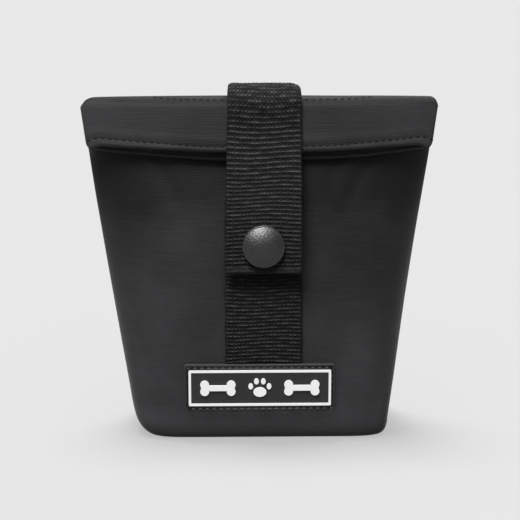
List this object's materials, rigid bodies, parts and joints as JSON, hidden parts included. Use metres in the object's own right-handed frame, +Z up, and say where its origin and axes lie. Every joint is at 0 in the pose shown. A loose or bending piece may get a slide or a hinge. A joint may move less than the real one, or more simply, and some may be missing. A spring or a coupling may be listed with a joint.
{
  "type": "treat pouch",
  "caption": "Roll-top fabric pouch with a boxed bottom, a webbing closure strap with a press stud, a rubber label and a belt loop on the back.",
  "frame": {"origin": "centre of the underside, on the surface the pouch stands on", "axes": "+X to the right seen from the front, the front with the label faces -Y, +Z up"},
  "size_m": [0.14, 0.0586, 0.1396],
  "materials": {
    "coated_fabric": "matt coated canvas, faint weave",
    "lining": "matt coated nylon",
    "webbing": "ribbed nylon webbing",
    "binding": "matt grosgrain",
    "stiffener": "plain sheet",
    "snap": "fine grained black lacquer",
    "label_rubber": "matt moulded rubber",
    "label_print": "matt white moulded rubber",
    "thread": "bonded nylon thread"
  },
  "bodies": {
    "pouch": {"front_panel": "coated_fabric", "back_panel": "coated_fabric", "front_lining": "lining", "back_lining": "lining", "base_panel": "coated_fabric", "base_board": "stiffener", "base_lining": "lining", "side_seam_binding_left": "binding", "side_seam_binding_right": "binding", "strap_anchor": "webbing", "front_webbing": "webbing", "snap_stud": "snap", "snap_post_ring": "snap", "label_patch": "label_rubber", "label_frame": "label_print", "label_bone_left": "label_print", "label_bone_right": "label_print", "label_paw_pad": "label_print", "label_paw_toe_1": "label_print", "label_paw_toe_2": "label_print", "label_paw_toe_3": "label_print", "label_paw_toe_4": "label_print", "belt_loop": "webbing", "belt_loop_tack_upper": "thread", "belt_loop_tack_lower": "thread", "strap_tack": "thread"},
    "mouth_back": {"outer_hem": "coated_fabric", "outer_hem_stiffener": "stiffener"},
    "mouth_front": {"inner_hem": "coated_fabric", "inner_hem_stiffener": "stiffener"},
    "strap_top": {"strap_crown": "webbing"},
    "strap_end": {"strap_tongue": "webbing", "snap_cap": "snap", "snap_socket": "snap"}
  },
  "joints": [
    {"name": "flap_unroll", "type": "hinge", "parent": "pouch", "child": "mouth_back", "pos_m": [0, -0.0014, 0.1324], "axis": [-1, 0, 0], "range_deg": [0, 170]},
    {"name": "mouth_spread", "type": "hinge", "parent": "mouth_back", "child": "mouth_front", "pos_m": [0, -0.00054, 0.14219], "axis": [-1, 0, 0], "range_deg": [-35, 0]},
    {"name": "strap_lift", "type": "hinge", "parent": "pouch", "child": "strap_top", "pos_m": [0, 0.0074, 0.131], "axis": [-1, 0, 0], "range_deg": [0, 120]},
    {"name": "strap_swing", "type": "hinge", "parent": "strap_top", "child": "strap_end", "pos_m": [0, -0.0119, 0.131], "axis": [-1, 0, 0], "range_deg": [0, 120]}
  ],
  "couplings": [
    {"joint": "mouth_spread", "follows": "flap_unroll", "ratio": -0.2},
    {"joint": "strap_lift", "follows": "flap_unroll", "ratio": 0.7},
    {"joint": "strap_swing", "follows": "flap_unroll", "ratio": 0.7}
  ]
}
